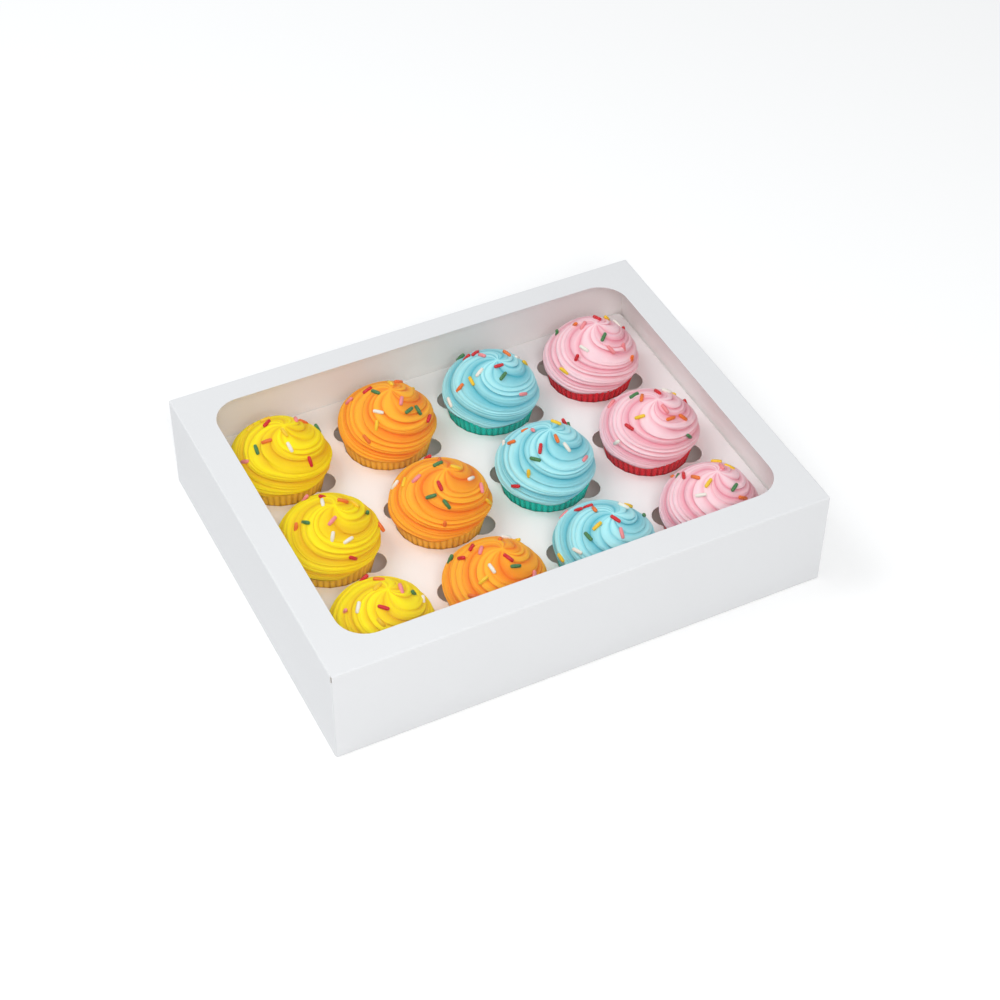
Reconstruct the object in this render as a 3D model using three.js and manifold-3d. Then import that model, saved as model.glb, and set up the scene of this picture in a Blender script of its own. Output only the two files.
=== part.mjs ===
// Window box for twelve cupcakes: a folded card tray, a hinged lid with a clear
// film window, a card insert with twelve holes, and the cupcakes standing in it.
// Millimetres. +X runs along the long side, -Y is the front, +Z is up.
// The origin is the middle of the underside.

import * as THREE from 'three';
import { mergeVertices } from 'three/addons/utils/BufferGeometryUtils.js';
import Module from 'manifold-3d';

const wasm = await Module();
wasm.setup();

// Box
const BOX_LENGTH = 356;
const BOX_WIDTH = 278;
const BOX_HEIGHT = 76;
const CARD = 0.6;
const FOLD_RADIUS = 0.7;
const FOLD_STEPS = 2;
const CARD_GAP = 0.3;
const TAB_LENGTH = 26;
const TAB_END_GAP = 3;
const PANEL_INSET = 0.6;
const LID_LIFT = 0.5;
const TRAY_WALL_HEIGHT = 70;

// Window
const WINDOW_SIDE_MARGIN = 21;
const WINDOW_BACK_MARGIN = 18;
const WINDOW_FRONT_MARGIN = 22;
const WINDOW_CORNER = 21;
const WINDOW_CORNER_STEPS = 5;
const FILM = 0.2;
const FILM_OVERLAP = 9;

// Insert
const INSERT_HEIGHT = 28.5;
const INSERT_SIDE_GAP = 1.4;
const INSERT_END_GAP = 0.8;
const LEG_END_GAP = 4;
const HOLE_RADIUS = 30.9;
const HOLE_STEPS = 4;
const NOTCH_RADIUS = 10;
const NOTCH_REACH = 39;
const NOTCH_ANGLE = -0.7;

// Cupcakes
const COLUMNS = 4;
const ROWS = 3;
const END_MARGIN = 57.25;
const SIDE_MARGIN = 54;
const PLEATS = 24;
const LINER = 0.4;
const LINER_HEIGHT = 38.5;
const LINER_BASE_RADIUS = 24;
const LINER_RIM_RADIUS = 32.5;
const PLEAT_DEPTH_BASE = 0.8;
const PLEAT_DEPTH_RIM = 2;
const CAKE_SIDES = 18;
const REST_GAP = 0.3;

// Icing swirl. The profile is in shares of its height and of its widest radius.
const ICING_HEIGHT = 33.8;
const ICING_RADIUS = 36;
const ICING_STRANDS = 12;
const ICING_STRAND_DEPTH = 1.6;
const ICING_ROPES = 3;
const ICING_ROPE_DEPTH = 3.4;
const ICING_RINGS = 12;
const ICING_TWIST = 5.2;
const ICING_LEAN = 5;
const ICING_PROFILE = [
  { height: 0, radius: 0.88 },
  { height: 0.1, radius: 1 },
  { height: 0.3, radius: 0.96 },
  { height: 0.5, radius: 0.84 },
  { height: 0.68, radius: 0.65 },
  { height: 0.84, radius: 0.42 },
  { height: 0.95, radius: 0.2 },
  { height: 1, radius: 0.08 },
];

const CARD_COLOUR = 0xf2f3f4;
const ICING_COLOURS = [0xffdc1e, 0xfa9632, 0x86d2e4, 0xfab6c2];
const LINER_COLOURS = [0xe0aa1e, 0xe69a22, 0x00a68c, 0xbe1423];
const CAKE_COLOUR = 0xd9a866;

// Sizes that follow from the ones above
const FOLD = FOLD_RADIUS + CARD;
const LID_X = BOX_LENGTH / 2;
const LID_Y = BOX_WIDTH / 2;
const TAB_X = LID_X - CARD - CARD_GAP;
const TRAY_X = TAB_X - CARD;
const TRAY_FRONT = 2 * CARD + CARD_GAP - LID_Y;
const TRAY_MIDDLE = (LID_Y + TRAY_FRONT) / 2;
const TRAY_DEPTH = LID_Y - TRAY_FRONT;
const BACK_HEIGHT = BOX_HEIGHT - CARD - CARD_GAP;
const INSERT_X = TRAY_X - CARD - INSERT_SIDE_GAP;
const INSERT_DEPTH = TRAY_DEPTH - 2 * (CARD + INSERT_END_GAP);
const COLUMN_PITCH = (BOX_LENGTH - 2 * END_MARGIN) / (COLUMNS - 1);
const ROW_PITCH = (BOX_WIDTH - 2 * SIDE_MARGIN) / (ROWS - 1);
const LINER_BOTTOM = CARD + REST_GAP;
const LINER_TOP = LINER_BOTTOM + LINER_HEIGHT;
const ICING_BOTTOM = LINER_TOP + REST_GAP;

const RIGHT = new THREE.Vector3(1, 0, 0);
const LEFT = new THREE.Vector3(-1, 0, 0);
const BACK = new THREE.Vector3(0, 1, 0);
const FRONT = new THREE.Vector3(0, -1, 0);
const UP = new THREE.Vector3(0, 0, 1);
const DOWN = new THREE.Vector3(0, 0, -1);

const group = new THREE.Group();
group.name = 'cupcake_box';

function addNode(name, geometry, colour, roughness, settings = {}) {
  const material = new THREE.MeshStandardMaterial({
    color: colour,
    roughness,
    metalness: 0,
    ...settings,
  });
  const mesh = new THREE.Mesh(geometry, material);
  mesh.name = name;
  group.add(mesh);
  return mesh;
}

// Joining
function solidFrom(geometry) {
  const bare = geometry.clone();
  bare.deleteAttribute('normal');
  bare.deleteAttribute('uv');
  const merged = mergeVertices(bare, 1e-4);
  const mesh = new wasm.Mesh({
    numProp: 3,
    vertProperties: new Float32Array(merged.getAttribute('position').array),
    triVerts: new Uint32Array(merged.index.array),
  });
  return new wasm.Manifold(mesh);
}

function joined(geometries) {
  const solids = geometries.map(solidFrom);
  const whole = solids.reduce((sum, solid) => sum.add(solid));
  const mesh = whole.getMesh();
  const geometry = new THREE.BufferGeometry();
  geometry.setAttribute('position', new THREE.BufferAttribute(mesh.vertProperties, 3));
  geometry.setIndex(new THREE.BufferAttribute(mesh.triVerts, 1));
  geometry.computeVertexNormals();
  return geometry;
}

// Card folded once, with its outer fold at the origin. One arm runs back along
// -x and the other along -y.
function foldSection(armX, armY) {
  const section = new THREE.Shape();
  section.moveTo(-armX, 0);
  section.lineTo(-armX, -CARD);
  section.lineTo(-FOLD, -CARD);
  section.absarc(-FOLD, -FOLD, FOLD_RADIUS, Math.PI / 2, 0, true);
  section.lineTo(-CARD, -armY);
  section.lineTo(0, -armY);
  section.lineTo(0, -FOLD);
  section.absarc(-FOLD, -FOLD, FOLD, 0, Math.PI / 2, false);
  section.closePath();
  return section;
}

// Folded strip. The two arms lie against the faces that look along faceA and
// faceB: arm A runs away from faceB, arm B away from faceA.
function foldedStrip(armA, armB, length, faceB, faceA, middle) {
  const geometry = new THREE.ExtrudeGeometry(foldSection(armA, armB), {
    depth: length,
    bevelEnabled: false,
    curveSegments: FOLD_STEPS,
  });
  geometry.translate(0, 0, -length / 2);
  const along = new THREE.Vector3().crossVectors(faceB, faceA);
  const place = new THREE.Matrix4().makeBasis(faceB, faceA, along);
  place.setPosition(middle);
  geometry.applyMatrix4(place);
  return geometry;
}

function flatPanel(outline, thickness, bottom, steps) {
  const geometry = new THREE.ExtrudeGeometry(outline, {
    depth: thickness,
    bevelEnabled: false,
    curveSegments: steps,
  });
  geometry.translate(0, 0, bottom);
  return geometry;
}

function rectangle(left, front, right, back) {
  const outline = new THREE.Shape();
  outline.moveTo(left, front);
  outline.lineTo(right, front);
  outline.lineTo(right, back);
  outline.lineTo(left, back);
  outline.closePath();
  return outline;
}

function roundedWindow(left, front, right, back, radius) {
  const quarter = Math.PI / 2;
  const outline = new THREE.Path();
  outline.moveTo(left + radius, front);
  outline.lineTo(right - radius, front);
  outline.absarc(right - radius, front + radius, radius, -quarter, 0, false);
  outline.lineTo(right, back - radius);
  outline.absarc(right - radius, back - radius, radius, 0, quarter, false);
  outline.lineTo(left + radius, back);
  outline.absarc(left + radius, back - radius, radius, quarter, 2 * quarter, false);
  outline.lineTo(left, front + radius);
  outline.absarc(left + radius, front + radius, radius, -2 * quarter, -quarter, false);
  return outline;
}

// Tray
function makeTray() {
  const floorX = TRAY_X - FOLD;
  const floorOutline = rectangle(-floorX, TRAY_FRONT + FOLD, floorX, LID_Y - FOLD);
  const parts = [flatPanel(floorOutline, CARD, 0, 1)];
  const arm = 6;
  const sideLength = TRAY_DEPTH - 2 * FOLD;
  const endLength = 2 * (TAB_X - FOLD);
  const tabHeight = TRAY_WALL_HEIGHT - 2 * TAB_END_GAP;
  for (const face of [RIGHT, LEFT]) {
    const side = Math.sign(face.x);
    const foot = new THREE.Vector3(side * TRAY_X, TRAY_MIDDLE, 0);
    parts.push(foldedStrip(arm, TRAY_WALL_HEIGHT, sideLength, face, DOWN, foot));
    for (const end of [FRONT, BACK]) {
      const edge = end === FRONT ? TRAY_FRONT : LID_Y;
      const corner = new THREE.Vector3(side * TAB_X, edge, TRAY_WALL_HEIGHT / 2);
      parts.push(foldedStrip(arm, TAB_LENGTH, tabHeight, face, end, corner));
    }
  }
  const frontFoot = new THREE.Vector3(0, TRAY_FRONT, 0);
  const backFoot = new THREE.Vector3(0, LID_Y, 0);
  parts.push(foldedStrip(arm, TRAY_WALL_HEIGHT, endLength, FRONT, DOWN, frontFoot));
  parts.push(foldedStrip(arm, BACK_HEIGHT, endLength, BACK, DOWN, backFoot));
  return joined(parts);
}

// Lid
const WINDOW_X = LID_X - WINDOW_SIDE_MARGIN;
const WINDOW_BACK = LID_Y - WINDOW_BACK_MARGIN;
const WINDOW_FRONT = WINDOW_FRONT_MARGIN - LID_Y;

function makeLid() {
  const panelX = LID_X - FOLD;
  const outline = rectangle(-panelX, FOLD - LID_Y, panelX, LID_Y);
  const cutOut = [-WINDOW_X, WINDOW_FRONT, WINDOW_X, WINDOW_BACK, WINDOW_CORNER];
  outline.holes.push(roundedWindow(...cutOut));
  const parts = [flatPanel(outline, CARD, BOX_HEIGHT - CARD, WINDOW_CORNER_STEPS)];
  const arm = 6;
  const wallHeight = BOX_HEIGHT - LID_LIFT;
  const frontLength = 2 * (LID_X - PANEL_INSET);
  const frontFold = new THREE.Vector3(0, -LID_Y, BOX_HEIGHT);
  parts.push(foldedStrip(arm, wallHeight, frontLength, FRONT, UP, frontFold));
  const sideLength = BOX_WIDTH - CARD - FOLD;
  const tabHeight = wallHeight - 2 * TAB_END_GAP;
  for (const face of [RIGHT, LEFT]) {
    const side = Math.sign(face.x);
    const fold = new THREE.Vector3(side * LID_X, (CARD + FOLD) / 2, BOX_HEIGHT);
    parts.push(foldedStrip(arm, wallHeight, sideLength, face, UP, fold));
    const tabMiddle = LID_LIFT + tabHeight / 2;
    const corner = new THREE.Vector3(side * LID_X, CARD - LID_Y, tabMiddle);
    parts.push(foldedStrip(arm, TAB_LENGTH, tabHeight, FRONT, face, corner));
  }
  return joined(parts);
}

function makeFilm() {
  const outline = rectangle(
    -WINDOW_X - FILM_OVERLAP,
    WINDOW_FRONT - FILM_OVERLAP,
    WINDOW_X + FILM_OVERLAP,
    WINDOW_BACK + FILM_OVERLAP,
  );
  return flatPanel(outline, FILM, BOX_HEIGHT - CARD - CARD_GAP - FILM, 1);
}

// Insert
function cupcakeCentre(row, column) {
  const x = (column - (COLUMNS - 1) / 2) * COLUMN_PITCH;
  const y = ((ROWS - 1) / 2 - row) * ROW_PITCH;
  return new THREE.Vector3(x, y, 0);
}

// Round hole with two finger notches on one diagonal
function notchedHole(centre) {
  const offset = NOTCH_REACH - NOTCH_RADIUS;
  const along = (HOLE_RADIUS ** 2 + offset ** 2 - NOTCH_RADIUS ** 2) / (2 * offset);
  const across = Math.sqrt(HOLE_RADIUS ** 2 - along ** 2);
  const holeTurn = Math.atan2(across, along);
  const notchTurn = Math.atan2(across, along - offset);
  const outline = new THREE.Path();
  for (const turn of [NOTCH_ANGLE, NOTCH_ANGLE + Math.PI]) {
    const notchX = centre.x + offset * Math.cos(turn);
    const notchY = centre.y + offset * Math.sin(turn);
    const start = turn - notchTurn;
    outline.absarc(notchX, notchY, NOTCH_RADIUS, start, turn + notchTurn, false);
    const next = turn + Math.PI - holeTurn;
    outline.absarc(centre.x, centre.y, HOLE_RADIUS, turn + holeTurn, next, false);
  }
  return outline;
}

function makeInsert() {
  const halfDepth = INSERT_DEPTH / 2;
  const front = TRAY_MIDDLE - halfDepth;
  const back = TRAY_MIDDLE + halfDepth;
  const topX = INSERT_X - FOLD;
  const outline = rectangle(-topX, front + FOLD, topX, back - FOLD);
  for (let row = 0; row < ROWS; row += 1) {
    for (let column = 0; column < COLUMNS; column += 1) {
      outline.holes.push(notchedHole(cupcakeCentre(row, column)));
    }
  }
  const parts = [flatPanel(outline, CARD, INSERT_HEIGHT - CARD, HOLE_STEPS)];
  const arm = 5;
  const legHeight = INSERT_HEIGHT - CARD - REST_GAP;
  const sideLength = INSERT_DEPTH - 2 * LEG_END_GAP;
  const endLength = 2 * (INSERT_X - LEG_END_GAP);
  for (const face of [RIGHT, LEFT]) {
    const side = Math.sign(face.x);
    const fold = new THREE.Vector3(side * INSERT_X, TRAY_MIDDLE, INSERT_HEIGHT);
    parts.push(foldedStrip(arm, legHeight, sideLength, face, UP, fold));
  }
  for (const face of [FRONT, BACK]) {
    const edge = face === FRONT ? front : back;
    const fold = new THREE.Vector3(0, edge, INSERT_HEIGHT);
    parts.push(foldedStrip(arm, legHeight, endLength, face, UP, fold));
  }
  return joined(parts);
}

// Closed body through rings of points, from a first to a last point on its axis
function loft(first, rings, last) {
  const count = rings[0].length;
  const points = [first, ...rings.flat(), last];
  const end = points.length - 1;
  const faces = [];
  for (let i = 0; i < count; i += 1) {
    const next = (i + 1) % count;
    faces.push(0, 1 + next, 1 + i);
    for (let ring = 0; ring < rings.length - 1; ring += 1) {
      const low = 1 + ring * count;
      const high = low + count;
      faces.push(low + i, low + next, high + next);
      faces.push(low + i, high + next, high + i);
    }
    const top = 1 + (rings.length - 1) * count;
    faces.push(top + i, top + next, end);
  }
  const geometry = new THREE.BufferGeometry().setFromPoints(points);
  geometry.setIndex(faces);
  geometry.computeVertexNormals();
  return geometry;
}

// Liner: a pleated paper cup, thin and open at the top
function pleatRing(height, depth, inset) {
  const share = (height - LINER_BOTTOM) / LINER_HEIGHT;
  const ridge = THREE.MathUtils.lerp(LINER_BASE_RADIUS, LINER_RIM_RADIUS, share);
  const ring = [];
  for (let i = 0; i < 2 * PLEATS; i += 1) {
    const radius = ridge - inset - (i % 2) * depth;
    const angle = (i * Math.PI) / PLEATS;
    ring.push(new THREE.Vector3(radius * Math.cos(angle), radius * Math.sin(angle), height));
  }
  return ring;
}

function makeLiner() {
  const floor = LINER_BOTTOM + LINER;
  const rings = [
    pleatRing(LINER_BOTTOM, PLEAT_DEPTH_BASE, 0),
    pleatRing(LINER_TOP, PLEAT_DEPTH_RIM, 0),
    pleatRing(LINER_TOP, PLEAT_DEPTH_RIM, LINER),
    pleatRing(floor, PLEAT_DEPTH_BASE, LINER),
  ];
  const underside = new THREE.Vector3(0, 0, LINER_BOTTOM);
  return loft(underside, rings, new THREE.Vector3(0, 0, floor));
}

// Cake: a plain frustum that fills the liner
function cakeRing(radius, height) {
  const ring = [];
  for (let i = 0; i < CAKE_SIDES; i += 1) {
    const angle = (i * 2 * Math.PI) / CAKE_SIDES;
    ring.push(new THREE.Vector3(radius * Math.cos(angle), radius * Math.sin(angle), height));
  }
  return ring;
}

function makeCake() {
  const bottom = LINER_BOTTOM + LINER + REST_GAP;
  const wall = LINER + REST_GAP;
  const baseRadius = LINER_BASE_RADIUS - PLEAT_DEPTH_BASE - wall;
  const topRadius = LINER_RIM_RADIUS - PLEAT_DEPTH_RIM - wall;
  const rings = [cakeRing(baseRadius, bottom), cakeRing(topRadius, LINER_TOP)];
  const underside = new THREE.Vector3(0, 0, bottom);
  return loft(underside, rings, new THREE.Vector3(0, 0, LINER_TOP));
}

// Icing: three ropes piped side by side in one swirl. Each rope has strands
// along it, and the peak leans to one side.
function profileRadius(share) {
  const last = ICING_PROFILE.length - 1;
  const found = ICING_PROFILE.findIndex(({ height }) => height > share);
  const index = found < 0 ? last : found;
  const low = ICING_PROFILE[index - 1];
  const high = ICING_PROFILE[index];
  const part = (share - low.height) / (high.height - low.height);
  return ICING_RADIUS * THREE.MathUtils.lerp(low.radius, high.radius, part);
}

function icingRing(share, lean) {
  const crest = profileRadius(share);
  const fade = Math.min(1, crest / ICING_RADIUS + 0.1);
  const step = Math.PI / ICING_STRANDS;
  const ring = [];
  for (let i = 0; i < 2 * ICING_STRANDS; i += 1) {
    const across = Math.abs(Math.sin((ICING_ROPES / 2) * (i - 1) * step));
    const valley = (i % 2) * ICING_STRAND_DEPTH;
    const crease = ICING_ROPE_DEPTH * (1 - across ** 0.7);
    const reach = crest - fade * Math.max(valley, crease);
    const angle = i * step - ICING_TWIST * share;
    const x = lean.x * share ** 3 + reach * Math.cos(angle);
    const y = lean.y * share ** 3 + reach * Math.sin(angle);
    ring.push(new THREE.Vector3(x, y, ICING_BOTTOM + ICING_HEIGHT * share));
  }
  return ring;
}

function makeIcing(lean) {
  const rings = [];
  for (let row = 0; row < ICING_RINGS; row += 1) {
    rings.push(icingRing(1 - (1 - row / ICING_RINGS) ** 1.2, lean));
  }
  const underside = new THREE.Vector3(0, 0, ICING_BOTTOM);
  const peak = lean.clone().setZ(ICING_BOTTOM + ICING_HEIGHT);
  return loft(underside, rings, peak);
}

addNode('tray', makeTray(), CARD_COLOUR, 0.55);
addNode('insert', makeInsert(), CARD_COLOUR, 0.6);
addNode('lid', makeLid(), CARD_COLOUR, 0.5);
addNode('window_film', makeFilm(), 0xffffff, 0.05, { transparent: true, opacity: 0.2 });

for (let row = 0; row < ROWS; row += 1) {
  for (let column = 0; column < COLUMNS; column += 1) {
    const place = `r${row + 1}_c${column + 1}`;
    const leanAngle = 0.6 * Math.sin(2.4 * (row * COLUMNS + column)) - 0.1;
    const lean = new THREE.Vector3(Math.cos(leanAngle), Math.sin(leanAngle), 0);
    lean.multiplyScalar(ICING_LEAN);
    const pieces = [
      addNode(`liner_${place}`, makeLiner(), LINER_COLOURS[column], 0.7),
      addNode(`cake_${place}`, makeCake(), CAKE_COLOUR, 0.9),
      addNode(`icing_${place}`, makeIcing(lean), ICING_COLOURS[column], 0.45),
    ];
    for (const piece of pieces) {
      piece.position.copy(cupcakeCentre(row, column));
    }
  }
}

export default group;
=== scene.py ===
"""Looks of a white card window box with twelve iced cupcakes.

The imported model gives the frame: tray, lid, film, insert, liners, cakes and
icing. This script dresses the card, and makes the pleated liners, the piped
icing and the sprinkles in full detail. Everything is in metres.
"""

import logging
import math
import random
from dataclasses import dataclass, field
from enum import Enum

import bmesh
import bpy
from mathutils import Matrix, Vector
from mathutils.bvhtree import BVHTree


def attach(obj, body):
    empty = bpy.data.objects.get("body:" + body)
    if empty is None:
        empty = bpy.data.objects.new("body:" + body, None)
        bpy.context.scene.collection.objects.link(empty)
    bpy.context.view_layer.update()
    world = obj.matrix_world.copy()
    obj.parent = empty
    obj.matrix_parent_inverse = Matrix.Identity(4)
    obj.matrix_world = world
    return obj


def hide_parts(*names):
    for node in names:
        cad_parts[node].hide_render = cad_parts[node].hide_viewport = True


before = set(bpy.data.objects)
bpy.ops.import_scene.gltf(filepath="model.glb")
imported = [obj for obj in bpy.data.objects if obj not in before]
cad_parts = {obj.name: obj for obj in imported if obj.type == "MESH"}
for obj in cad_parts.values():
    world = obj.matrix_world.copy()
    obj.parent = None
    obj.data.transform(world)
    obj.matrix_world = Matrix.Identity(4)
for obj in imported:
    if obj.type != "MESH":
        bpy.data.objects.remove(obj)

LOG = logging.getLogger("cupcake_box")
MM = 0.001
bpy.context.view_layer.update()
ROOT = "tray"
NEAR_ZERO = 1e-6
FULL_TURN = 2.0 * math.pi
PHASE_RANGE = 6.28
IMAGE_PIXELS = 1000.0

Colour = tuple[float, float, float]


class Flavour(Enum):
    """Colour families of the cupcakes, one for each column from the left."""

    YELLOW = 1
    ORANGE = 2
    CYAN = 3
    PINK = 4


class SprinkleColour(Enum):
    """Colours of the sugar strands, as linear values."""

    GREEN = (0.055, 0.20, 0.065)
    RED = (0.62, 0.012, 0.02)
    ORANGE = (0.82, 0.17, 0.02)
    WHITE = (0.86, 0.82, 0.74)
    PINK = (0.85, 0.26, 0.28)
    YELLOW = (0.88, 0.55, 0.02)


# Shader groups

FIBRE_STRETCH = (1.0, 0.45, 0.8)
CLOUD_SHARE = 0.07
STREAK_SHARE = 0.25


def group_shell(name: str, inputs: dict[str, float], outputs: list[str]) -> tuple:
    """Makes an empty shader group with float sockets.

    Args:
        name: Name of the group.
        inputs: Default value of each input by its name.
        outputs: Names of the outputs.

    Returns:
        The node tree, its input node and its output node.
    """
    tree = bpy.data.node_groups.new(name, "ShaderNodeTree")
    for title, value in inputs.items():
        socket = tree.interface.new_socket(
            name=title, in_out="INPUT", socket_type="NodeSocketFloat"
        )
        socket.default_value = value
    for title in outputs:
        tree.interface.new_socket(
            name=title, in_out="OUTPUT", socket_type="NodeSocketFloat"
        )
    start = tree.nodes.new("NodeGroupInput")
    end = tree.nodes.new("NodeGroupOutput")
    start.location = (-900, 0)
    end.location = (600, 0)
    return tree, start, end


def noise_node(tree: bpy.types.NodeTree, detail: float, rough: float) -> bpy.types.Node:
    """Adds a noise texture.

    Args:
        tree: Tree that gets the node.
        detail: Number of finer layers in the noise.
        rough: Weight of the finer layers.

    Returns:
        The new node.
    """
    node = tree.nodes.new("ShaderNodeTexNoise")
    node.inputs["Detail"].default_value = detail
    node.inputs["Roughness"].default_value = rough
    return node


def math_node(tree: bpy.types.NodeTree, operation: str, *values: object) -> bpy.types.Node:
    """Adds a math node.

    Args:
        tree: Tree that gets the node.
        operation: Name of the operation.
        values: A number or an output socket for each input.

    Returns:
        The new node.
    """
    node = tree.nodes.new("ShaderNodeMath")
    node.operation = operation
    for i, value in enumerate(values):
        if isinstance(value, bpy.types.NodeSocket):
            tree.links.new(value, node.inputs[i])
        else:
            node.inputs[i].default_value = value
    return node


def fibre_group() -> bpy.types.NodeTree:
    """Builds the paper fibre effect: a faint mottle and a fine fibre relief.

    Returns:
        A group with inputs Scale and Contrast and outputs Shade and Height.
    """
    sizes = {"Scale": 260.0, "Contrast": 0.03}
    tree, start, end = group_shell("paper_fibre", sizes, ["Shade", "Height"])
    coords = tree.nodes.new("ShaderNodeTexCoord")
    stretch = tree.nodes.new("ShaderNodeMapping")
    stretch.inputs["Scale"].default_value = FIBRE_STRETCH
    tree.links.new(coords.outputs["Object"], stretch.inputs["Vector"])
    fibres = noise_node(tree, detail=6.0, rough=0.62)
    clouds = noise_node(tree, detail=2.0, rough=0.5)
    coarse = math_node(tree, "MULTIPLY", start.outputs["Scale"], CLOUD_SHARE)
    tree.links.new(stretch.outputs["Vector"], fibres.inputs["Vector"])
    tree.links.new(coords.outputs["Object"], clouds.inputs["Vector"])
    tree.links.new(start.outputs["Scale"], fibres.inputs["Scale"])
    tree.links.new(coarse.outputs[0], clouds.inputs["Scale"])
    both = math_node(tree, "ADD", fibres.outputs["Fac"], clouds.outputs["Fac"])
    centred = math_node(tree, "SUBTRACT", both.outputs[0], 1.0)
    swing = math_node(tree, "MULTIPLY", centred.outputs[0], start.outputs["Contrast"])
    shade = math_node(tree, "ADD", swing.outputs[0], 1.0)
    tree.links.new(shade.outputs[0], end.inputs["Shade"])
    tree.links.new(fibres.outputs["Fac"], end.inputs["Height"])
    return tree


def whip_group() -> bpy.types.NodeTree:
    """Builds the whipped icing effect: soft streaks and tiny air pits.

    Returns:
        A group with inputs Scale and Contrast and outputs Shade and Height.
    """
    sizes = {"Scale": 420.0, "Contrast": 0.10}
    tree, start, end = group_shell("whipped_icing", sizes, ["Shade", "Height"])
    coords = tree.nodes.new("ShaderNodeTexCoord")
    grain = noise_node(tree, detail=4.0, rough=0.55)
    streak = noise_node(tree, detail=3.0, rough=0.5)
    wide = math_node(tree, "MULTIPLY", start.outputs["Scale"], STREAK_SHARE)
    for node in (grain, streak):
        tree.links.new(coords.outputs["Object"], node.inputs["Vector"])
    tree.links.new(start.outputs["Scale"], grain.inputs["Scale"])
    tree.links.new(wide.outputs[0], streak.inputs["Scale"])
    centred = math_node(tree, "SUBTRACT", streak.outputs["Fac"], 0.5)
    swing = math_node(tree, "MULTIPLY", centred.outputs[0], start.outputs["Contrast"])
    shade = math_node(tree, "ADD", swing.outputs[0], 1.0)
    tree.links.new(shade.outputs[0], end.inputs["Shade"])
    tree.links.new(grain.outputs["Fac"], end.inputs["Height"])
    return tree


FIBRE = fibre_group()
WHIP = whip_group()


# Finishes


@dataclass(frozen=True)
class Finish:
    """A material with a base colour, a roughness and a fine relief."""

    name: str
    colour: Colour
    roughness: float = 0.5
    scale: float = 260.0
    contrast: float = 0.03
    relief: float = 0.05
    relief_depth: float = 0.0002

    def shell(self) -> tuple[bpy.types.Material, bpy.types.Node]:
        """Makes the empty material.

        Returns:
            The material and its main shader.
        """
        material = bpy.data.materials.new(self.name)
        material.use_nodes = True
        material.diffuse_color = (*self.colour, 1.0)
        shader = material.node_tree.nodes["Principled BSDF"]
        shader.inputs["Base Color"].default_value = (*self.colour, 1.0)
        shader.inputs["Roughness"].default_value = self.roughness
        return material, shader

    def shaded(self, tree: bpy.types.NodeTree, colour: object, shade: object) -> object:
        """Multiplies a colour by a shade.

        Args:
            tree: Tree of the material.
            colour: A colour, or the output socket of one.
            shade: Output socket of the shade.

        Returns:
            The output socket of the product.
        """
        mix = tree.nodes.new("ShaderNodeVectorMath")
        mix.operation = "SCALE"
        if isinstance(colour, bpy.types.NodeSocket):
            tree.links.new(colour, mix.inputs[0])
        else:
            mix.inputs[0].default_value = colour
        tree.links.new(shade, mix.inputs["Scale"])
        return mix.outputs["Vector"]

    def relieved(self, tree: bpy.types.NodeTree, shader: object, height: object) -> None:
        """Adds the fine relief to the shader.

        Args:
            tree: Tree of the material.
            shader: Main shader.
            height: Output socket of the relief's height.
        """
        bump = tree.nodes.new("ShaderNodeBump")
        bump.inputs["Strength"].default_value = self.relief
        bump.inputs["Distance"].default_value = self.relief_depth
        tree.links.new(height, bump.inputs["Height"])
        tree.links.new(bump.outputs["Normal"], shader.inputs["Normal"])

    def effect(self, tree: bpy.types.NodeTree, group: bpy.types.NodeTree) -> bpy.types.Node:
        """Places a shared effect with this finish's own scale and contrast.

        Args:
            tree: Tree of the material.
            group: Shared effect.

        Returns:
            The new group node.
        """
        node = tree.nodes.new("ShaderNodeGroup")
        node.node_tree = group
        node.inputs["Scale"].default_value = self.scale
        node.inputs["Contrast"].default_value = self.contrast
        return node


@dataclass(frozen=True)
class CardFinish(Finish):
    """Smooth coated white card.

    Its glow is painted light: a faint warm emission that brightens the shaded inside of the
    tray and stands for the little light that thin card lets through.
    """

    gloss: float = 0.35
    painted_glow: float = 0.0
    painted_glow_tint: Colour = (1.0, 0.84, 0.74)

    def make(self) -> bpy.types.Material:
        """Builds the card material.

        Returns:
            The material.
        """
        material, shader = self.shell()
        tree = material.node_tree
        fibre = self.effect(tree, FIBRE)
        tint = self.shaded(tree, self.colour, fibre.outputs["Shade"])
        tree.links.new(tint, shader.inputs["Base Color"])
        rough = math_node(tree, "MULTIPLY", fibre.outputs["Shade"], self.roughness)
        tree.links.new(rough.outputs[0], shader.inputs["Roughness"])
        self.relieved(tree, shader, fibre.outputs["Height"])
        shader.inputs["Specular IOR Level"].default_value = self.gloss
        # Painted light: the card emits a faint warm glow so that shaded parts inside the
        # box look lit.
        if self.painted_glow:
            shader.inputs["Emission Color"].default_value = (*self.painted_glow_tint, 1.0)
            shader.inputs["Emission Strength"].default_value = self.painted_glow
        return material


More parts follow.
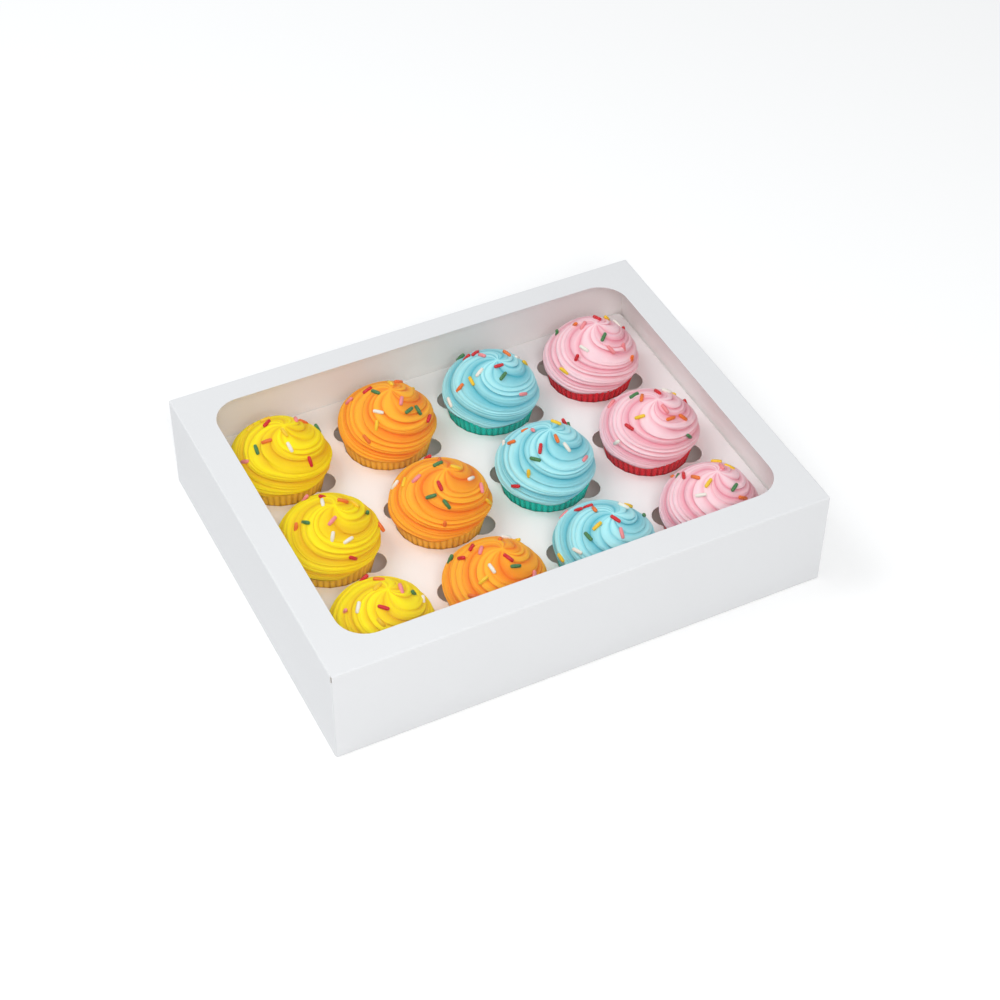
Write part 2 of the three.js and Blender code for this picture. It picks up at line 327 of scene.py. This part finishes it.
@dataclass(frozen=True)
class RidgedFinish(Finish):
    """A surface whose valleys are painted darker than its ridges: painted shade in the
    creases.
    """

    valley_shade: Colour = (0.5, 0.5, 0.5)
    gloss: float = 0.4
    soft: float = 0.0
    soft_reach: float = 2.0 * MM
    soft_spread: Colour = (1.0, 0.7, 0.5)

    def make(self, group: bpy.types.NodeTree) -> bpy.types.Material:
        """Builds the material.

        Args:
            group: Shared effect for its shade and relief.

        Returns:
            The material.
        """
        material, shader = self.shell()
        tree = material.node_tree
        effect = self.effect(tree, group)
        # Painted shade: the ridge attribute blends the darker valley colour into the
        # creases.
        ridge = tree.nodes.new("ShaderNodeAttribute")
        ridge.attribute_name = "ridge"
        blend = tree.nodes.new("ShaderNodeMix")
        blend.data_type = "RGBA"
        blend.inputs["A"].default_value = (*self.valley_shade, 1.0)
        blend.inputs["B"].default_value = (*self.colour, 1.0)
        tree.links.new(ridge.outputs["Fac"], blend.inputs["Factor"])
        tint = self.shaded(tree, blend.outputs["Result"], effect.outputs["Shade"])
        tree.links.new(tint, shader.inputs["Base Color"])
        rough = math_node(tree, "MULTIPLY", effect.outputs["Shade"], self.roughness)
        tree.links.new(rough.outputs[0], shader.inputs["Roughness"])
        self.relieved(tree, shader, effect.outputs["Height"])
        shader.inputs["Specular IOR Level"].default_value = self.gloss
        if self.soft:
            shader.inputs["Subsurface Weight"].default_value = self.soft
            shader.inputs["Subsurface Radius"].default_value = self.soft_spread
            shader.inputs["Subsurface Scale"].default_value = self.soft_reach
        return material


@dataclass(frozen=True)
class FilmFinish(Finish):
    """Clear thin film, seen only by its faint gloss."""

    haze: float = 0.04

    def make(self) -> bpy.types.Material:
        """Builds the film material.

        Returns:
            The material.
        """
        material, shader = self.shell()
        tree = material.node_tree
        coords = tree.nodes.new("ShaderNodeTexCoord")
        ripple = noise_node(tree, detail=1.0, rough=0.4)
        ripple.inputs["Scale"].default_value = self.scale
        tree.links.new(coords.outputs["Object"], ripple.inputs["Vector"])
        self.relieved(tree, shader, ripple.outputs["Fac"])
        veil = math_node(tree, "MULTIPLY", ripple.outputs["Fac"], 2.0 * self.haze)
        tree.links.new(veil.outputs[0], shader.inputs["Alpha"])
        return material


@dataclass(frozen=True)
class SugarFinish(Finish):
    """Smooth sugar strand with a soft glaze."""

    gloss: float = 0.25
    glaze: float = 0.08
    glaze_roughness: float = 0.25

    def make(self) -> bpy.types.Material:
        """Builds the sugar material.

        Returns:
            The material.
        """
        material, shader = self.shell()
        tree = material.node_tree
        sugar = self.effect(tree, WHIP)
        tint = self.shaded(tree, self.colour, sugar.outputs["Shade"])
        tree.links.new(tint, shader.inputs["Base Color"])
        self.relieved(tree, shader, sugar.outputs["Height"])
        shader.inputs["Specular IOR Level"].default_value = self.gloss
        shader.inputs["Coat Weight"].default_value = self.glaze
        shader.inputs["Coat Roughness"].default_value = self.glaze_roughness
        return material


# Colour on the ridges and colour in the valleys of each flavour: the ridge colour is the
# icing's own colour lightened as painted light on the crests, and the darker valley colour
# is painted shade in the creases
ICING_COLOURS = {
    Flavour.YELLOW: ((1.0, 0.83, 0.005), (0.78, 0.38, 0.001)),
    Flavour.ORANGE: ((1.0, 0.47, 0.03), (0.86, 0.12, 0.002)),
    Flavour.CYAN: ((0.44, 0.86, 0.91), (0.015, 0.38, 0.50)),
    Flavour.PINK: ((0.98, 0.69, 0.74), (0.80, 0.21, 0.30)),
}
# Liner colours on the pleat ridges and in the pleat valleys; the darker valley colour is
# painted shade in the pleats.
LINER_COLOURS = {
    Flavour.YELLOW: ((0.88, 0.54, 0.03), (0.66, 0.36, 0.01)),
    Flavour.ORANGE: ((0.90, 0.48, 0.05), (0.70, 0.32, 0.02)),
    Flavour.CYAN: ((0.0, 0.54, 0.44), (0.0, 0.34, 0.28)),
    Flavour.PINK: ((0.72, 0.012, 0.025), (0.42, 0.005, 0.012)),
}


# Mesh helpers


def finished_object(name: str, bm: bmesh.types.BMesh, smooth: bool) -> bpy.types.Object:
    """Turns a bmesh into an object at the origin.

    Args:
        name: Name of the piece.
        bm: The mesh, which is freed here.
        smooth: Whether its faces are shaded smooth.

    Returns:
        The new object.
    """
    for face in bm.faces:
        face.smooth = smooth
    mesh = bpy.data.meshes.new(name)
    bm.to_mesh(mesh)
    bm.free()
    piece = bpy.data.objects.new(name, mesh)
    bpy.context.scene.collection.objects.link(piece)
    return piece


def spun(profile: list[tuple[float, float]], steps: int) -> bmesh.types.BMesh:
    """Spins a profile round the upright axis into a closed body.

    Args:
        profile: Radius and height of each point, the ends on the axis.
        steps: Number of steps in the full turn.

    Returns:
        The mesh, its doubles merged and its faces out.
    """
    bm = bmesh.new()
    points = [bm.verts.new((radius, 0.0, height)) for radius, height in profile]
    edges = [bm.edges.new(pair) for pair in zip(points, points[1:])]
    bmesh.ops.spin(
        bm,
        geom=points + edges,
        axis=(0.0, 0.0, 1.0),
        cent=(0.0, 0.0, 0.0),
        steps=steps,
        angle=FULL_TURN,
        use_merge=True,
    )
    bmesh.ops.remove_doubles(bm, verts=bm.verts, dist=NEAR_ZERO)
    bmesh.ops.recalc_face_normals(bm, faces=bm.faces)
    return bm


def smooth_step(value: float) -> float:
    """Eases a value from 0 to 1."""
    value = min(1.0, max(0.0, value))
    return value * value * (3.0 - 2.0 * value)


def curve_between(
    u: float, start: float, end: float, start_slope: float, end_slope: float
) -> float:
    """Value on the smooth curve between two knots.

    Args:
        u: Place between the knots, from 0 to 1.
        start: Value at the first knot.
        end: Value at the second knot.
        start_slope: Slope at the first knot.
        end_slope: Slope at the second knot.

    Returns:
        The value at that place.
    """
    return (
        (2 * u**3 - 3 * u**2 + 1) * start
        + (u**3 - 2 * u**2 + u) * start_slope
        + (3 * u**2 - 2 * u**3) * end
        + (u**3 - u**2) * end_slope
    )


# Cupcakes


@dataclass
class Liner:
    """Pleated paper cup."""

    pleats: int = 46
    paper: float = 0.4 * MM
    bottom: float = 0.9 * MM
    height: float = 38.5 * MM
    base_radius: float = 24.0 * MM
    rim_radius: float = 32.5 * MM
    base_depth: float = 0.8 * MM
    rim_depth: float = 1.5 * MM
    ridge_shape: float = 0.8
    wander: float = 0.10
    sway: float = 0.25 * MM
    floor_share: float = 0.9
    rows: int = 9
    steps_per_pleat: int = 6

    def profile(self) -> list[tuple[float, float]]:
        """Gives the cup's section, from the underside to the inner floor.

        Returns:
            Radius and height of each point.
        """
        outer, inner = [], []
        for i in range(self.rows + 1):
            share = i / self.rows
            radius = self.base_radius + (self.rim_radius - self.base_radius) * share
            outer.append((radius, self.bottom + self.height * share))
            inner.append((radius - self.paper, self.bottom + self.height * share))
        inner[0] = (inner[0][0], self.bottom + self.paper)
        floor_radius = self.floor_share * self.base_radius
        floor_top = self.bottom + self.paper
        floor = [(0.0, self.bottom), (floor_radius, self.bottom)]
        inside = [(floor_radius, floor_top), (0.0, floor_top)]
        return floor + outer + inner[::-1] + inside

    def build(self, name: str, centre: Vector, seed: int) -> bpy.types.Object:
        """Builds the cup.

        Args:
            name: Name of the piece.
            centre: Middle of the cup on the tray.
            seed: Number that sets its small unevenness.

        Returns:
            The cup.
        """
        rng = random.Random(seed)
        offset = rng.uniform(0.0, PHASE_RANGE)
        bm = spun(self.profile(), self.pleats * self.steps_per_pleat)
        layer = bm.verts.layers.float.new("ridge")
        for vert in bm.verts:
            radius = math.hypot(vert.co.x, vert.co.y)
            if radius < NEAR_ZERO:
                continue
            angle = math.atan2(vert.co.y, vert.co.x)
            share = (vert.co.z - self.bottom) / self.height
            wander = self.wander * math.sin(3.0 * angle + offset) / self.pleats
            phase = self.pleats * (angle + wander) / FULL_TURN
            ridge = abs(math.cos(math.pi * phase)) ** self.ridge_shape
            depth = self.base_depth + (self.rim_depth - self.base_depth) * share
            past_floor = radius / self.base_radius - self.floor_share
            on_wall = smooth_step(past_floor / (1.0 - self.floor_share))
            sway = self.sway * share * math.sin(5.0 * angle + 2.0 * offset)
            inward = depth * (1.0 - ridge) - sway - self.sway * share
            new_radius = min(radius - on_wall * inward, radius)
            vert.co.x *= new_radius / radius
            vert.co.y *= new_radius / radius
            # The ridge attribute masks the painted pleat shade: low values get the darker
            # valley colour.
            vert[layer] = ridge
        bmesh.ops.translate(bm, verts=bm.verts, vec=centre)
        return finished_object(name, bm, True)


@dataclass
class Swirl:
    """Icing piped as three ropes in one swirl, with strands along each rope."""

    bottom: float = 39.7 * MM
    height: float = 33.8 * MM
    radius: float = 36.0 * MM
    lip_drop: float = 1.7 * MM
    lip_wave: float = 0.65 * MM
    strands: int = 12
    ropes: int = 3
    strand_depth: float = 4.2 * MM
    strand_edge: float = 0.5
    low_strands: float = 0.75
    rope_depth: float = 2.6 * MM
    rope_edge: float = 0.45
    fine_depth: float = 0.18 * MM
    crease_shade_power: float = 0.85
    # Exponent that shapes the painted crease shade on the icing.
    twist: float = 6.2
    twist_ease: float = 0.17
    lean: float = 5.0 * MM
    core_share: float = 0.12
    hang_share: float = 0.14
    waver: tuple[float, float, float] = (0.12, 0.07, 0.04)
    bends: tuple[tuple[int, float], ...] = ((2, 0.11), (3, 0.07), (5, 0.03))
    lumps: tuple[tuple[int, float], ...] = ((2, 0.016), (3, 0.012), (5, 0.008))
    inset: float = 0.02
    rows: int = 54
    steps_per_strand: int = 16
    section: list[tuple[float, float]] = field(
        default_factory=lambda: [
            (0.0, 0.95),
            (0.1, 1.0),
            (0.3, 0.96),
            (0.5, 0.84),
            (0.68, 0.65),
            (0.84, 0.42),
            (0.95, 0.2),
            (1.0, 0.0),
        ]
    )

    def reach(self, share: float) -> float:
        """Radius of the crests at a share of the height.

        Args:
            share: Height above the rim, as a share of the swirl's height.

        Returns:
            The radius in metres, on a smooth curve through the section.
        """
        share = max(0.0, share)
        knots = self.section
        last = len(knots) - 2
        i = max(k for k in range(last + 1) if share >= knots[k][0])
        (x0, y0), (x1, y1) = knots[i], knots[i + 1]
        before = knots[max(0, i - 1)]
        after = knots[min(len(knots) - 1, i + 2)]
        width = x1 - x0
        slope0 = (y1 - before[1]) / (x1 - before[0]) * width
        slope1 = (after[1] - y0) / (after[0] - x0) * width
        value = curve_between((share - x0) / width, y0, y1, slope0, slope1)
        return self.radius * min(1.0, max(0.0, value))

    def profile(self) -> list[tuple[float, float]]:
        """Gives the section: the underside, the hanging lip, then up to the peak.

        Returns:
            Radius and height of each point.
        """
        edge = self.reach(0.0)
        points = [(0.0, 0.0), (0.45 * edge, 0.0), (0.85 * edge, 0.0)]
        points.append((0.97 * edge, -self.lip_drop))
        for i in range(self.rows):
            share = (i / self.rows) ** 1.1
            points.append((self.reach(share), self.height * share))
        return points + [(0.0, self.height)]

    def relief(self, angle: float, share: float, phase: float) -> tuple[float, float]:
        """Depth below the crests at one place across the strands.

        Args:
            angle: Angle across the strands, before the twist.
            share: Height above the rim, as a share of the swirl's height.
            phase: Shift that makes each swirl's strands uneven in their own way.

        Returns:
            The depth in metres, and how far down its crease the place lies, from
            0 at a crest to 1 at the bottom.
        """
        wide, narrow, along = self.waver
        uneven = angle + wide * math.sin(angle + phase)
        uneven += narrow * math.sin(3.0 * angle + 2.0 * phase)
        uneven += along * math.sin(16.0 * share + 4.0 * angle + phase)
        strand = 1.0 - abs(math.cos(0.5 * self.strands * uneven)) ** self.strand_edge
        between = uneven - math.pi / self.strands
        rope = 1.0 - abs(math.sin(0.5 * self.ropes * between)) ** self.rope_edge
        vary = 0.75 + 0.25 * math.sin(9.0 * share + 2.0 * angle + phase)
        vary *= self.low_strands + (1.0 - self.low_strands) * smooth_step(share / 0.6)
        ripple = math.sin(3.0 * self.strands * uneven + 11.0 * share + phase)
        depth = max(self.strand_depth * vary * strand, self.rope_depth * rope)
        depth += self.fine_depth * ripple
        return depth, max(vary * strand, rope)

    def build(
        self, name: str, centre: Vector, lean_angle: float, seed: int
    ) -> bpy.types.Object:
        """Builds the swirl.

        Args:
            name: Name of the piece.
            centre: Middle of the cupcake on the tray.
            lean_angle: Side to which the peak leans.
            seed: Number that sets its small unevenness.

        Returns:
            The swirl.
        """
        rng = random.Random(seed)
        phase = rng.uniform(0.0, PHASE_RANGE)
        bends = [(n, a, rng.uniform(0.0, PHASE_RANGE)) for n, a in self.bends]
        lumps = [(n, a, rng.uniform(0.0, PHASE_RANGE)) for n, a in self.lumps]
        bm = spun(self.profile(), self.strands * self.steps_per_strand)
        layer = bm.verts.layers.float.new("ridge")
        for vert in bm.verts:
            share = vert.co.z / self.height
            radius = math.hypot(vert.co.x, vert.co.y)
            out = self.lean * max(0.0, share) ** 3
            aside = (out * math.cos(lean_angle), out * math.sin(lean_angle))
            middle = Vector((*aside, vert.co.z))
            if radius < NEAR_ZERO:
                vert.co = middle
                vert[layer] = 1.0
                continue
            angle = math.atan2(vert.co.y, vert.co.x)
            rim = self.reach(share)
            fade = min(1.0, rim / self.radius + 0.25)
            fade *= min(1.0, radius / max(rim, NEAR_ZERO)) ** 4
            fade *= 0.1 + 0.9 * smooth_step((share + 0.03) / 0.1)
            depth, crease = self.relief(angle, share, phase)
            ease = 1.0 - self.twist_ease * share**2
            turned = angle - self.twist * share * ease + phase
            turned += sum(a * math.sin(n * angle + 5.0 * share + p) for n, a, p in bends)
            swell = sum(a * math.sin(n * turned + p) for n, a, p in lumps) - self.inset
            core = self.core_share * radius
            new_radius = max(radius * (1.0 + swell) - fade * depth, core)
            hang = 1.0 - smooth_step(share / self.hang_share)
            wave = math.sin(7.0 * turned + phase) + math.sin(4.0 * turned)
            sag = self.lip_wave * hang * wave
            vert.co.x = middle.x + new_radius * math.cos(turned)
            vert.co.y = middle.y + new_radius * math.sin(turned)
            vert.co.z = middle.z + sag * smooth_step((radius / self.radius - 0.85) / 0.1)
            # The ridge attribute sets the painted shade: 0 paints the valley colour in the
            # creases, 1 the ridge colour.
            vert[layer] = 1.0 - crease**self.crease_shade_power
        bmesh.ops.recalc_face_normals(bm, faces=bm.faces)
        place = Vector((centre.x, centre.y, self.bottom))
        bmesh.ops.translate(bm, verts=bm.verts, vec=place)
        return finished_object(name, bm, True)


@dataclass
class Sprinkles:
    """Sugar strands that lie on the swirl."""

    count: int = 14
    thickness: float = 1.4 * MM
    half_length: float = 2.6 * MM
    aim_height: float = 46.0 * MM
    cast_from: float = 80.0 * MM
    turn_step: float = 0.755
    turn_scatter: float = 0.12
    rise_step: float = 0.57
    lowest_rise: float = 0.1
    rise_span: float = 1.2
    rise_scatter: float = 0.06
    upright_weight: float = 2.0
    lift: float = 0.45

    def strand(self, bm: bmesh.types.BMesh, place: Matrix, slot: int) -> None:
        """Adds one strand.

        Args:
            bm: Mesh that gets the strand.
            place: Where it lies, its length along the local X axis.
            slot: Index of its material.
        """
        made = bmesh.ops.create_uvsphere(
            bm, u_segments=8, v_segments=6, radius=self.thickness
        )
        verts = made["verts"]
        for vert in verts:
            if abs(vert.co.z) >= NEAR_ZERO:
                vert.co.z += math.copysign(self.half_length, vert.co.z)
        on_side = Matrix.Rotation(math.pi / 2, 3, "Y")
        bmesh.ops.rotate(bm, verts=verts, cent=(0, 0, 0), matrix=on_side)
        bmesh.ops.transform(bm, matrix=place, verts=verts)
        for face in {face for vert in verts for face in vert.link_faces}:
            face.material_index = slot

    def build(
        self, name: str, swirl: bpy.types.Object, centre: Vector, seed: int
    ) -> bpy.types.Object:
        """Scatters the strands over a swirl.

        Args:
            name: Name of the piece.
            swirl: Swirl that carries the strands.
            centre: Middle of the cupcake on the tray.
            seed: Number that sets where the strands fall.

        Returns:
            The strands of one cupcake.
        """
        rng = random.Random(seed)
        mesh = swirl.data
        skin = BVHTree.FromPolygons(
            [vert.co for vert in mesh.vertices],
            [tuple(face.vertices) for face in mesh.polygons],
        )
        bm = bmesh.new()
        start = rng.uniform(0.0, PHASE_RANGE)
        colours = list(range(len(SprinkleColour)))
        rng.shuffle(colours)
        middle = Vector((centre.x, centre.y, self.aim_height))
        for i in range(self.count):
            angle = start + FULL_TURN * ((self.turn_step * i) % 1.0)
            angle += rng.uniform(-self.turn_scatter, self.turn_scatter)
            rise = self.lowest_rise + self.rise_span * ((self.rise_step * i) % 1.0)
            rise += rng.uniform(-self.rise_scatter, self.rise_scatter)
            level = math.cos(rise)
            ray = Vector((math.cos(angle) * level, math.sin(angle) * level, math.sin(rise)))
            hit, out, _, _ = skin.ray_cast(middle + ray * self.cast_from, -ray)
            if hit is None:
                continue
            out = (out + self.upright_weight * ray).normalized()
            aside = Vector((-math.sin(angle), math.cos(angle), 0.0))
            turn = Matrix.Rotation(rng.uniform(0.0, math.pi), 3, out)
            along = turn @ (aside - out * aside.dot(out)).normalized()
            place = Matrix((along, out.cross(along), out)).transposed().to_4x4()
            place.translation = hit + out * self.lift * self.thickness
            self.strand(bm, place, colours[i % len(colours)])
        return finished_object(name, bm, True)


@dataclass
class CupcakeSet:
    """The twelve cupcakes, in rows from the back and columns from the left."""

    rows: int = 3
    columns: int = 4
    column_pitch: float = 80.5 * MM
    row_pitch: float = 85.0 * MM
    lean_swing: float = 0.6
    lean_step: float = 2.4
    lean_shift: float = -0.1
    liner_seed: int = 40
    swirl_seed: int = 80
    sprinkle_seed: int = 120
    liner: Liner = field(default_factory=Liner)
    swirl: Swirl = field(default_factory=Swirl)
    sprinkles: Sprinkles = field(default_factory=Sprinkles)

    def centre(self, row: int, column: int) -> Vector:
        """Finds the middle of one cupcake on the tray.

        Args:
            row: Row, from 0 at the back.
            column: Column, from 0 at the left.

        Returns:
            The place, at the height of the tray's underside.
        """
        x = (column - (self.columns - 1) / 2) * self.column_pitch
        y = ((self.rows - 1) / 2 - row) * self.row_pitch
        return Vector((x, y, 0.0))

    def build(self) -> None:
        """Builds and dresses all the cupcakes."""
        crumb = CardFinish(
            "cake_crumb", (0.62, 0.36, 0.13), roughness=0.85, scale=700.0,
            contrast=0.5, relief=0.5, relief_depth=0.6 * MM,
        ).make()
        sugar = [
            SugarFinish(
                f"sugar_{tone.name.lower()}", tone.value, roughness=0.35,
                scale=500.0, contrast=0.06, relief=0.1,
            ).make()
            for tone in SprinkleColour
        ]
        for column, flavour in enumerate(Flavour):
            title = flavour.name.lower()
            ridge, valley_shade = ICING_COLOURS[flavour]
            icing = RidgedFinish(
                f"icing_{title}", ridge, roughness=0.5, scale=520.0,
                contrast=0.14, relief=0.35, relief_depth=0.5 * MM,
                valley_shade=valley_shade, gloss=0.12, soft=0.08,
            ).make(WHIP)
            ridge, valley_shade = LINER_COLOURS[flavour]
            paper = RidgedFinish(
                f"liner_{title}", ridge, roughness=0.62, scale=900.0,
                contrast=0.12, relief=0.15, valley_shade=valley_shade, gloss=0.12,
            ).make(FIBRE)
            for row in range(self.rows):
                self.cupcake(row, column, icing, paper, sugar)
                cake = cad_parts[f"cake_r{row + 1}_c{column + 1}"]
                paint(cake, crumb)

    def cupcake(
        self,
        row: int,
        column: int,
        icing: bpy.types.Material,
        paper: bpy.types.Material,
        sugar: list[bpy.types.Material],
    ) -> None:
        """Builds one cupcake and sets it on the tray.

        Args:
            row: Row, from 0 at the back.
            column: Column, from 0 at the left.
            icing: Material of the swirl.
            paper: Material of the liner.
            sugar: Materials of the strands.
        """
        place = f"r{row + 1}_c{column + 1}"
        number = row * self.columns + column
        centre = self.centre(row, column)
        lean_angle = self.lean_swing * math.sin(self.lean_step * number) + self.lean_shift
        cup = self.liner.build(f"pleated_liner_{place}", centre, self.liner_seed + number)
        cup.data.materials.append(paper)
        swirl_seed = self.swirl_seed + number
        top = self.swirl.build(f"piped_icing_{place}", centre, lean_angle, swirl_seed)
        top.data.materials.append(icing)
        sprinkle_seed = self.sprinkle_seed + number
        strands = self.sprinkles.build(f"sprinkles_{place}", top, centre, sprinkle_seed)
        for material in sugar:
            strands.data.materials.append(material)
        for piece in (cup, top, strands):
            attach(piece, ROOT)
        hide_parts(f"liner_{place}")
        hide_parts(f"icing_{place}")
        LOG.info("cupcake %s: %d faces of icing", place, len(top.data.polygons))


def paint(piece: bpy.types.Object, material: bpy.types.Material) -> None:
    """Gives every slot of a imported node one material.

    Args:
        piece: Object of the node.
        material: Material that it gets.
    """
    if not piece.material_slots:
        piece.data.materials.append(material)
    for slot in piece.material_slots:
        slot.material = material


@dataclass
class Carton:
    """The card tray, lid and insert, and the film under the window."""

    outside: CardFinish = CardFinish(
        "white_card", (0.76, 0.765, 0.777), roughness=0.5, scale=320.0,
        contrast=0.02, relief=0.06, relief_depth=0.15 * MM,
    )
    # Tray card: painted light, with a base brighter than the lid's white card and a faint
    # warm glow, to lift the shade inside the box.
    inside: CardFinish = CardFinish(
        "tray_card_painted_light", (0.85, 0.85, 0.85), roughness=0.6, scale=280.0,
        contrast=0.02, relief=0.06, relief_depth=0.15 * MM, painted_glow=0.05,
    )
    # Insert card: base colour brighter than the lid's white card, painted light that
    # offsets the shade inside the box.
    lightened_sheet: CardFinish = CardFinish(
        "insert_card", (0.93, 0.925, 0.92), roughness=0.6, scale=280.0,
        contrast=0.02, relief=0.06, relief_depth=0.15 * MM,
    )
    film: FilmFinish = FilmFinish(
        "clear_film", (1.0, 1.0, 1.0), roughness=0.04, scale=9.0,
        relief=0.05, relief_depth=0.8 * MM, haze=0.008,
    )

    def build(self) -> None:
        """Dresses the folded card and the film."""
        paint(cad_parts["lid"], self.outside.make())
        LOG.info("lid: smooth white card")
        # The tray card carries painted light: a brighter base than the lid and a faint
        # glow.
        paint(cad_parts["tray"], self.inside.make())
        LOG.info("tray: matt white card")
        # The insert's extra brightness is painted light that offsets the shade inside the
        # box.
        paint(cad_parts["insert"], self.lightened_sheet.make())
        LOG.info("insert: bright white card")
        paint(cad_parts["window_film"], self.film.make())
        LOG.info("window film: clear")


# Studio


@dataclass(frozen=True)
class Lamp:
    """Soft square lamp that faces the box."""

    name: str
    place: tuple[float, float, float]
    width: float
    power: float
    tint: Colour
    aim: tuple[float, float, float] = (0.0, 0.0, 0.04)

    def hang(self) -> None:
        """Adds the lamp to the scene."""
        data = bpy.data.lights.new(self.name, "AREA")
        data.shape = "SQUARE"
        data.size = self.width
        data.energy = self.power
        data.color = self.tint
        lamp = bpy.data.objects.new(self.name, data)
        lamp.location = self.place
        towards = Vector(self.aim) - Vector(self.place)
        lamp.rotation_euler = towards.to_track_quat("-Z", "Y").to_euler()
        bpy.context.scene.collection.objects.link(lamp)


@dataclass
class Studio:
    """Pale floor, soft light and the camera."""

    azimuth: float = -27.04
    elevation: float = 44.45
    roll: float = 0.76
    target: tuple[float, float, float] = (-0.00808, -0.02704, 0.0547)
    distance: float = 1.471
    focal_pixels: float = 2208.7
    sensor_width: float = 36.0
    clip_range: tuple[float, float] = (0.05, 30.0)
    ambient: float = 0.62
    ambient_tint: Colour = (0.97, 0.985, 1.0)
    floor_width: float = 12.0
    floor_colour: Colour = (0.92, 0.92, 0.92)
    floor_roughness: float = 0.9
    floor_lift: float = 0.14
    left_lamp: Lamp = Lamp("left_lamp", (-0.9, 0.5, 1.6), 0.9, 9.5, (0.97, 0.99, 1.0))
    front_lamp: Lamp = Lamp("front_lamp", (-0.4, -1.25, 1.3), 0.6, 11.5, (1.0, 0.99, 0.97))
    max_bounces: int = 16
    diffuse_bounces: int = 10

    def camera(self) -> None:
        """Sets the camera at the photographed angle."""
        turn, rise = math.radians(self.azimuth), math.radians(self.elevation)
        flat = math.cos(rise)
        back = Vector((math.sin(turn) * flat, -math.cos(turn) * flat, math.sin(rise)))
        level = (-back).cross(Vector((0, 0, 1))).normalized()
        upright = level.cross(-back)
        roll = math.radians(self.roll)
        across = level * math.cos(roll) + upright * math.sin(roll)
        up = upright * math.cos(roll) - level * math.sin(roll)
        data = bpy.data.cameras.new("camera")
        data.sensor_width = self.sensor_width
        data.lens = self.focal_pixels / IMAGE_PIXELS * data.sensor_width
        data.clip_start, data.clip_end = self.clip_range
        camera = bpy.data.objects.new("camera", data)
        turned = Matrix((across, up, back)).transposed().to_4x4()
        turned.translation = Vector(self.target) + back * self.distance
        camera.matrix_world = turned
        bpy.context.scene.collection.objects.link(camera)
        bpy.context.scene.camera = camera

    def world(self) -> None:
        """Sets an even white surround, pure white where it is seen directly."""
        world = bpy.data.worlds.new("studio_white")
        bpy.context.scene.world = world
        world.use_nodes = True
        tree = world.node_tree
        tree.nodes.clear()
        end = tree.nodes.new("ShaderNodeOutputWorld")
        mix = tree.nodes.new("ShaderNodeMixShader")
        light = tree.nodes.new("ShaderNodeBackground")
        seen = tree.nodes.new("ShaderNodeBackground")
        light.inputs["Color"].default_value = (*self.ambient_tint, 1.0)
        light.inputs["Strength"].default_value = self.ambient
        seen.inputs["Color"].default_value = (1.0, 1.0, 1.0, 1.0)
        seen.inputs["Strength"].default_value = 1.0
        rays = tree.nodes.new("ShaderNodeLightPath")
        direct = math_node(
            tree, "MAXIMUM", rays.outputs["Is Camera Ray"], rays.outputs["Is Glossy Ray"]
        )
        shown = math_node(
            tree, "MAXIMUM", direct.outputs[0], rays.outputs["Is Transmission Ray"]
        )
        tree.links.new(shown.outputs[0], mix.inputs["Fac"])
        tree.links.new(light.outputs[0], mix.inputs[1])
        tree.links.new(seen.outputs[0], mix.inputs[2])
        tree.links.new(mix.outputs[0], end.inputs["Surface"])

    def floor(self) -> None:
        """Lays a pale floor that takes the box's soft shadow."""
        bm = bmesh.new()
        half = self.floor_width / 2
        bmesh.ops.create_grid(bm, x_segments=1, y_segments=1, size=half)
        floor = finished_object("studio_floor", bm, False)
        material = bpy.data.materials.new("pale_floor")
        material.use_nodes = True
        tree = material.node_tree
        shader = tree.nodes["Principled BSDF"]
        shader.inputs["Base Color"].default_value = (*self.floor_colour, 1.0)
        shader.inputs["Roughness"].default_value = self.floor_roughness
        shader.inputs["Specular IOR Level"].default_value = 0.0
        shader.inputs["Emission Color"].default_value = (1.0, 1.0, 1.0, 1.0)
        rays = tree.nodes.new("ShaderNodeLightPath")
        lift = math_node(
            tree, "MULTIPLY", rays.outputs["Is Camera Ray"], self.floor_lift
        )
        tree.links.new(lift.outputs[0], shader.inputs["Emission Strength"])
        floor.data.materials.append(material)

    def build(self) -> None:
        """Builds the whole set."""
        self.camera()
        self.floor()
        self.world()
        self.left_lamp.hang()
        self.front_lamp.hang()
        scene = bpy.context.scene
        scene.view_settings.view_transform = "Standard"
        scene.cycles.max_bounces = self.max_bounces
        scene.cycles.diffuse_bounces = self.diffuse_bounces
        LOG.info("studio set")


def main() -> None:
    """Builds the set, the carton and the cupcakes."""
    logging.basicConfig(level=logging.INFO)
    Studio().build()
    Carton().build()
    CupcakeSet().build()


if __name__ == "__main__":
    main()
